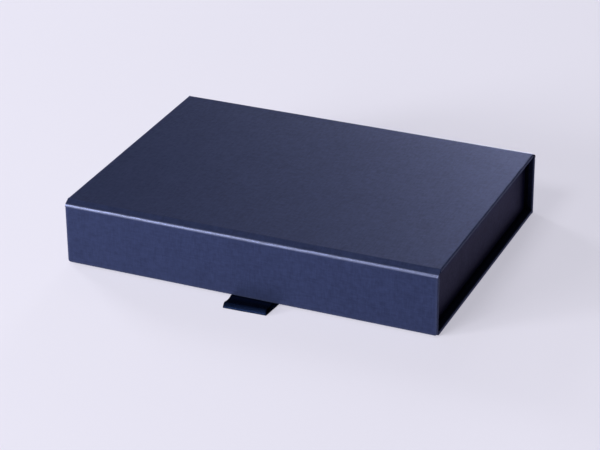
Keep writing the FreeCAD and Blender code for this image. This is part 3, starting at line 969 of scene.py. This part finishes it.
def makeTrayWrap(finish):
    low, high = trayLow, trayHigh
    bm = boxMesh(low, high)
    dropFaces(bm, lambda at: at.z > high.z - flush or at.z < low.z + flush)
    inner = addRim(bm, openEdges(bm, lambda at: abs(at.z - high.z) < same))  # over the top of the walls
    onRectangle(inner, floorLow, floorHigh)
    innerEdges = openEdges(
        bm,
        lambda at: abs(abs(at.x) - floorHigh.x) < same,
        lambda at: min(abs(at.y - floorLow.y), abs(at.y - floorHigh.y)) < same,
    )
    for v in addRim(bm, innerEdges):  # down the inner faces
        v.co.z = floorLow.z
    roundBox(bm, tray["edgeRound"])
    foot = openEdges(bm, lambda at: abs(at.z - low.z) < same)
    for v in addRim(bm, foot):  # under the edge of the floor
        v.co.x -= math.copysign(case["turnIn"], v.co.x)
        v.co.y -= math.copysign(case["turnIn"], v.co.y - (low.y + high.y) / 2)
    dice(bm, axisX, tray["patch"])
    dice(bm, axisY, tray["patch"])
    dice(bm, axisZ, tray["patch"])
    sinkDiscs(bm, low.y, 1)
    markWear(bm)
    bmesh.ops.recalc_face_normals(bm, faces=bm.faces)
    bm.normal_update()
    front = [f for f in bm.faces if f.calc_center_median().y < low.y + flush]
    if sum(f.normal.y * f.calc_area() for f in front) > 0:
        bmesh.ops.reverse_faces(bm, faces=bm.faces)
    thicken(bm)
    makePiece("tray_wrap", bm, finish, ["tray_wrap_paper"], "root")


ribbon = {
    "width": 25.4 * mm,
    "ply": 0.30 * mm,  # thickness of the ribbon
    "middle": 4.75 * mm,  # its centre line, right of the box's middle
    "columns": 16,  # patches across it
    "smooth": 8,  # steps between two points of the path
    "splay": 0.105,  # each ply leans this much sideways, and the fold joins them
    "splayReach": 15 * mm,
    "skew": 0.038,  # the fold's left end stands further out
    "skewReach": 13.5 * mm,  # skew and tilt grow over this distance from the flap
    "tilt": 0.20 * mm,  # the upper ply stands this much higher at its right edge, and lower at its left
    "tiltReach": 4 * mm,  # the upper ply takes its tilt over this distance from the fold
    "wave": 0.05 * mm,  # the free part is a little uneven
    "waveLength": 7 * mm,
    "held": 3 * mm,  # a stretch at the start that lies flat against the board
    "bendIn": 0.3 * mm,  # the bend starts this far inside the flap's face
    "bendHeight": 0.8 * mm,
    "bendRun": 2.3 * mm,
    "path": (  # mm, (y, z): down inside the flap, out, round the fold and back up
        (-80.60, 14.2), (-80.60, 6.0), (-80.60, 1.6), (-80.90, 0.95), (-82.20, 0.95),
        (-83.60, 1.10), (-85.60, 0.85), (-88.00, 1.10), (-90.20, 1.70), (-92.00, 2.20),
        (-93.30, 2.70), (-94.40, 2.35), (-96.15, 1.00), (-96.00, 0.20), (-94.00, 0.20),
        (-91.00, 0.35), (-88.00, 0.45), (-85.00, 0.40), (-82.20, 0.50), (-80.60, 0.60),
        (-80.25, 1.30), (-80.25, 6.0), (-80.25, 14.2),
    ),
}

tailLow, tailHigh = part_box("ribbon_tail")
ribbonSeat = {  # the pressed place in the flap's cover, a little wider than the ribbon
    "left": tailLow.x - 2.1 * mm,
    "right": tailHigh.x + 2.0 * mm,
    "top": tailHigh.z + 0.1 * mm,
    "lip": 0.2 * mm,
    "depth": 0.65 * mm,
}


def smoothPath(points, steps):
    curve = bpy.data.curves.new("ribbonPath", "CURVE")
    curve.dimensions = "3D"
    spline = curve.splines.new("NURBS")
    spline.points.add(len(points) - 1)
    for target, (y, z) in zip(spline.points, points):
        target.co = (0, y * mm, z * mm, 1)
    spline.order_u = 3
    spline.use_endpoint_u = True
    spline.resolution_u = steps
    holder = bpy.data.objects.new("ribbonPath", curve)
    mesh = bpy.data.meshes.new_from_object(holder)
    line = [v.co.copy() for v in mesh.vertices]
    bpy.data.objects.remove(holder)
    bpy.data.curves.remove(curve)
    bpy.data.meshes.remove(mesh)
    return line


def makeRibbon(finish):
    line = smoothPath(ribbon["path"], ribbon["smooth"])
    lengths = [0.0]
    for here, there in zip(line, line[1:]):
        lengths.append(lengths[-1] + (there - here).length)
    foldAt = lengths[min(range(len(line)), key=lambda i: line[i].y)]
    half = ribbon["width"] / 2

    bm = bmesh.new()
    along = bm.verts.layers.float.new("along")
    across = bm.verts.layers.float.new("across")
    ends = [bm.verts.new(line[0] + Vector((x, 0, 0))) for x in (-half, half)]
    edge = bm.edges.new(ends)
    bmesh.ops.subdivide_edges(bm, edges=[edge], cuts=ribbon["columns"] - 1)
    row = bm.edges[:]
    for v in bm.verts:
        v[across] = v.co.x
        v[along] = 0.0
    for here, there, length in zip(line, line[1:], lengths[1:]):
        made = bmesh.ops.extrude_edge_only(bm, edges=row)["geom"]
        fresh = [g for g in made if isinstance(g, bmesh.types.BMVert)]
        edges = [g for g in made if isinstance(g, bmesh.types.BMEdge)]
        row = [e for e in edges if all(v in fresh for v in e.verts)]
        bmesh.ops.translate(bm, verts=fresh, vec=there - here)
        for v in fresh:
            v[along] = length
            v[across] = v.co.x

    for v in bm.verts:
        fromFold = v[along] - foldAt  # the upper ply comes before the fold
        out = min(1.0, max(0.0, (flapLow.y - v.co.y) / ribbon["skewReach"]))
        upper = min(1.0, max(0.0, -fromFold / ribbon["tiltReach"]))
        reach = max(-ribbon["splayReach"], min(ribbon["splayReach"], fromFold))
        v.co.y += ribbon["skew"] * v[across] * out
        v.co.z += ribbon["tilt"] * v[across] / half * out * upper
        v.co.x += ribbon["middle"] + ribbon["splay"] * reach
        wave = noise.noise(Vector((v.co.x, v.co.y, fromFold)) / ribbon["waveLength"])
        v.co.z += wave * ribbon["wave"] * out

    bm.normal_update()
    first = next(f for f in bm.faces if all(v[along] < ribbon["held"] for v in f.verts))
    if first.normal.y > 0:  # the first ply's outer side faces the board
        bmesh.ops.reverse_faces(bm, faces=bm.faces)
        bm.normal_update()
    for v in bm.verts:
        v.co += v.normal * ribbon["ply"] / 2
    thicken(bm, ribbon["ply"])
    piece = makePiece("ribbon_tab", bm, finish, ["ribbon_tail", "ribbon_loop"])
    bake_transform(piece)
    print("ribbon is", round(lengths[-1] / mm, 1), "mm long")


makeCamera()
makeStudio()
print("studio is set")

coverFinish = pearlPaper()
liningFinish = mattPaper("mattLiningPaper", matt["lining"])
trayFinish = mattPaper("mattTrayPaper", matt["tray"])
finishes = {
    "cover_paper": coverFinish,
    "lining_paper": liningFinish,
    "tray_paper": trayFinish,
    "greyboard": greyBoard(),
    "stay_tape": kraftTape(),
    "ribbon": wovenRibbon(),
    "magnet": platedMetal("nickelPlate", plating["nickel"], plating["nickelRoughness"]),
    "steel": platedMetal("zincPlate", plating["zinc"], plating["zincRoughness"]),
}
for part in frame["record"]["subparts"]:
    node = frame["nodes"][part["node"]]
    node.data.materials.clear()
    node.data.materials.append(finishes[part["material_slot"]])
print("finishes are on the frame")

makeLidCover(coverFinish)
makeShapedBoard("flap_board", -1, finishes["greyboard"], "front_flap")
makeShapedBoard("spine_board", 1, finishes["greyboard"], "root")
makeFlapCover(coverFinish)
makeSpineCover(coverFinish)
makeBaseCover(coverFinish)
makeHinge(-1, "front_hinge_paper", coverFinish, liningFinish)
makeHinge(1, "back_hinge_paper", coverFinish, liningFinish)
makeLinings(liningFinish)
makeTrayWrap(trayFinish)
makeRibbon(finishes["ribbon"])
